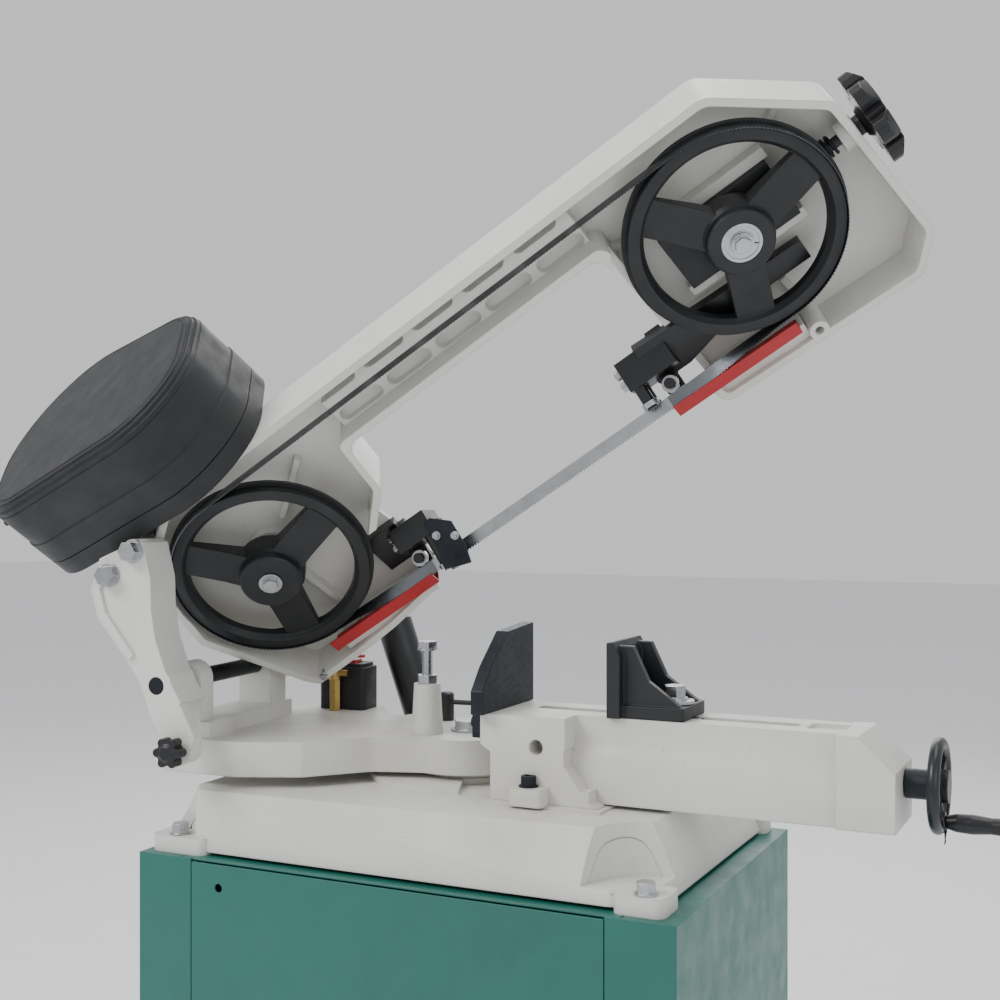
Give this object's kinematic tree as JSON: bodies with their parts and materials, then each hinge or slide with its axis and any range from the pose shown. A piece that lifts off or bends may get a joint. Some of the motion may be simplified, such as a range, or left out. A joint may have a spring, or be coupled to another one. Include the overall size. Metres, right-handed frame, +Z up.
{
  "type": "horizontal band saw",
  "caption": "Horizontal metal-cutting band saw: a pivoting bow with a tilted blade loop over a quick-set vise, on a swivelling arm, cast base and sheet-metal stand",
  "frame": {"origin": "On the floor, at the middle of the four floor anchor holes of the stand.", "axes": "+X runs along the vise towards its handwheel, +Y points away from the operator, +Z is up. At rest the bow is raised by 33.15 degrees and the head is turned by 5.4 degrees."},
  "size_m": [0.9162, 0.4084, 1.2305],
  "materials": {
    "green_paint": "satin sheet-metal paint",
    "cream_paint": "semi-gloss paint on cast iron",
    "steel": "bright zinc or ground steel",
    "black_steel": "black oxide",
    "black_paint": "satin black paint",
    "brass": "machined",
    "machined_iron": "machined",
    "belt_rubber": "matt",
    "red_paint": "gloss paint",
    "red_plastic": "gloss",
    "black_plastic": "fine texture"
  },
  "bodies": {
    "base": {"stand_left_panel": "green_paint", "stand_right_panel": "green_paint", "stand_front_panel": "green_paint", "stand_back_panel": "green_paint", "stand_top": "green_paint", "base_casting": "cream_paint", "base_bolts": "steel", "swivel_pin": "steel", "vise_body": "cream_paint", "vise_bolts": "black_steel", "fixed_jaw": "black_steel"},
    "vise_carriage": {"jaw_nut": "machined_iron", "jaw_bolt": "steel"},
    "vise_jaw": {"moving_jaw": "black_steel"},
    "vise_screw_body": {"vise_screw": "steel", "handwheel": "black_paint"},
    "crank": {"crank_handle": "black_plastic"},
    "head": {"swivel_arm": "cream_paint", "stop_bolt": "steel", "pivot_shaft": "black_steel", "switch_box": "black_plastic", "feed_valve": "brass"},
    "lock_lever": {"swivel_lock_lever": "black_paint"},
    "rocker": {"switch_rocker": "red_plastic"},
    "feed_control": {"feed_lever": "red_plastic"},
    "damper_tube": {"damper_cylinder": "black_paint"},
    "damper_piston": {"damper_rod": "steel"},
    "bow": {"bow_frame": "cream_paint", "pivot_bracket": "cream_paint", "bow_bolts": "steel", "damper_bracket": "black_steel", "gearbox": "black_steel", "motor": "black_paint", "drive_belt": "belt_rubber", "belt_tray": "black_plastic", "tension_spring": "black_steel", "blade": "steel", "blade_guards": "red_paint", "lower_guide": "black_paint", "chip_deflector": "black_steel"},
    "bracket_knob": {"star_knob": "black_plastic"},
    "drive_rotor": {"drive_wheel": "black_paint", "drive_shaft": "steel", "worm_gear": "brass"},
    "worm": {"worm_shaft": "steel", "gear_pulley": "machined_iron"},
    "motor_rotor": {"motor_pulley": "machined_iron"},
    "idler_slide": {"tension_slide": "black_steel"},
    "idler": {"idler_wheel": "black_paint", "idler_bearings": "steel"},
    "tensioner": {"tension_screw": "black_plastic"},
    "guide_arm": {"upper_guide": "black_paint"},
    "roller_1": {"lower_roller_front": "steel"},
    "roller_2": {"lower_roller_rear": "steel"},
    "roller_3": {"lower_roller_back": "steel"},
    "roller_4": {"upper_roller_front": "steel"},
    "roller_5": {"upper_roller_rear": "steel"},
    "roller_6": {"upper_roller_back": "steel"},
    "cover_lid": {"belt_lid": "black_plastic"},
    "cover_knob": {"lid_knob": "black_plastic"}
  },
  "joints": [
    {"name": "head_swivel", "type": "hinge", "parent": "base", "child": "head", "pos_m": [-0.013, 0.0125, 0.694], "axis": [0, 0, 1], "range_deg": [-5.4, 39.6]},
    {"name": "bow_lift", "type": "hinge", "parent": "head", "child": "bow", "pos_m": [-0.24297, -0.00924, 0.713], "axis": [-0.0941, 0.9956, 0], "range_deg": [-16, 33.15]},
    {"name": "vise_slide", "type": "slide", "parent": "base", "child": "vise_carriage", "axis": [1, 0, 0], "range_m": [-0.086, 0.045]},
    {"name": "vise_screw_turn", "type": "hinge", "parent": "base", "child": "vise_screw_body", "pos_m": [0.052, -0.0275, 0.654], "axis": [1, 0, 0], "range_deg": [-6192, 3241]},
    {"name": "jaw_swivel", "type": "hinge", "parent": "vise_carriage", "child": "vise_jaw", "pos_m": [0.206, -0.0275, 0.7], "axis": [0, 0, 1], "range_deg": [-25, 25]},
    {"name": "crank_spin", "type": "hinge", "parent": "vise_screw_body", "child": "crank", "pos_m": [0.429, -0.0275, 0.626], "axis": [1, 0, 0], "continuous": true},
    {"name": "lock_lever_turn", "type": "hinge", "parent": "head", "child": "lock_lever", "pos_m": [-0.05952, 0.05833, 0.669], "axis": [0, 0, 1], "range_deg": [-60, 30]},
    {"name": "rocker_tilt", "type": "hinge", "parent": "head", "child": "rocker", "pos_m": [-0.1928, 0.08691, 0.706], "axis": [-0.0941, 0.9956, 0], "range_deg": [-8, 8]},
    {"name": "feed_turn", "type": "hinge", "parent": "head", "child": "feed_control", "pos_m": [-0.19462, 0.06363, 0.716], "axis": [0, 0, 1], "range_deg": [-45, 45]},
    {"name": "bracket_knob_turn", "type": "hinge", "parent": "bow", "child": "bracket_knob", "pos_m": [-0.20413, -0.18637, 0.657], "axis": [-0.0941, 0.9956, 0], "range_deg": [-180, 180]},
    {"name": "damper_lean", "type": "hinge", "parent": "head", "child": "damper_tube", "pos_m": [-0.11868, 0.12104, 0.644], "axis": [-0.0941, 0.9956, 0], "range_deg": [-7.52, 15.04]},
    {"name": "damper_stroke", "type": "slide", "parent": "damper_tube", "child": "damper_piston", "axis": [-0.3245, -0.0307, 0.9454], "range_m": [-0.0672, 0.0329]},
    {"name": "drive_wheel_spin", "type": "hinge", "parent": "bow", "child": "drive_rotor", "pos_m": [-0.18384, -0.06392, 0.81581], "axis": [0.4342, -0.7054, -0.5602], "continuous": true},
    {"name": "worm_spin", "type": "hinge", "parent": "bow", "child": "worm", "pos_m": [-0.17735, -0.02001, 0.86908], "axis": [-0.3416, -0.7044, 0.6222], "continuous": true},
    {"name": "motor_spin", "type": "hinge", "parent": "bow", "child": "motor_rotor", "pos_m": [-0.31098, -0.00353, 0.81438], "axis": [-0.3416, -0.7044, 0.6222], "continuous": true},
    {"name": "tension_travel", "type": "slide", "parent": "bow", "child": "idler_slide", "axis": [0.8335, 0.0788, 0.5468], "range_m": [-0.008, 0]},
    {"name": "idler_spin", "type": "hinge", "parent": "idler_slide", "child": "idler", "pos_m": [0.25793, -0.02216, 1.10563], "axis": [0.4342, -0.7054, -0.5602], "continuous": true},
    {"name": "tension_screw_turn", "type": "hinge", "parent": "bow", "child": "tensioner", "pos_m": [0.35806, -0.00485, 1.18823], "axis": [0.8335, 0.0788, 0.5468], "range_deg": [-1441, 1]},
    {"name": "guide_arm_slide", "type": "slide", "parent": "bow", "child": "guide_arm", "axis": [0.8335, 0.0788, 0.5468], "range_m": [-0.06, 0]},
    {"name": "roller_1_spin", "type": "hinge", "parent": "bow", "child": "roller_1", "pos_m": [-0.02976, 0.00326, 0.81777], "axis": [-0.5444, -0.0515, 0.8372], "continuous": true},
    {"name": "roller_2_spin", "type": "hinge", "parent": "bow", "child": "roller_2", "pos_m": [-0.03138, 0.02043, 0.81777], "axis": [-0.5444, -0.0515, 0.8372], "continuous": true},
    {"name": "roller_3_spin", "type": "hinge", "parent": "bow", "child": "roller_3", "pos_m": [-0.06258, 0.00882, 0.82311], "axis": [-0.0941, 0.9956, 0], "continuous": true},
    {"name": "roller_4_spin", "type": "hinge", "parent": "guide_arm", "child": "roller_4", "pos_m": [0.16712, 0.02187, 0.96485], "axis": [-0.5444, -0.0515, 0.8372], "continuous": true},
    {"name": "roller_5_spin", "type": "hinge", "parent": "guide_arm", "child": "roller_5", "pos_m": [0.1655, 0.03904, 0.96485], "axis": [-0.5444, -0.0515, 0.8372], "continuous": true},
    {"name": "roller_6_spin", "type": "hinge", "parent": "guide_arm", "child": "roller_6", "pos_m": [0.18248, 0.03198, 0.98388], "axis": [-0.0941, 0.9956, 0], "continuous": true},
    {"name": "belt_lid_open", "type": "hinge", "parent": "bow", "child": "cover_lid", "pos_m": [-0.33665, -0.03591, 0.98252], "axis": [-0.9397, 0.2462, -0.2372], "range_deg": [0, 95]},
    {"name": "lid_knob_turn", "type": "hinge", "parent": "cover_lid", "child": "cover_knob", "pos_m": [-0.41327, -0.15896, 0.86833], "axis": [0.8335, 0.0788, 0.5468], "range_deg": [-180, 180]}
  ],
  "couplings": [
    {"joint": "vise_screw_turn", "follows": "vise_slide", "rad_per_m": 1256.6},
    {"joint": "tension_screw_turn", "follows": "tension_travel", "rad_per_m": 3141.6},
    {"joint": "worm_spin", "follows": "drive_wheel_spin", "ratio": 16},
    {"joint": "motor_spin", "follows": "drive_wheel_spin", "ratio": 36.364},
    {"joint": "idler_spin", "follows": "drive_wheel_spin", "ratio": 1},
    {"joint": "roller_1_spin", "follows": "drive_wheel_spin", "ratio": -11.7},
    {"joint": "roller_2_spin", "follows": "drive_wheel_spin", "ratio": 11.7},
    {"joint": "roller_3_spin", "follows": "drive_wheel_spin", "ratio": 11.7},
    {"joint": "roller_4_spin", "follows": "drive_wheel_spin", "ratio": -11.7},
    {"joint": "roller_5_spin", "follows": "drive_wheel_spin", "ratio": 11.7},
    {"joint": "roller_6_spin", "follows": "drive_wheel_spin", "ratio": 11.7},
    {"joint": "damper_lean", "follows": "bow_lift", "ratio": 0.43862},
    {"joint": "damper_stroke", "follows": "bow_lift", "m_per_rad": -0.11438}
  ]
}
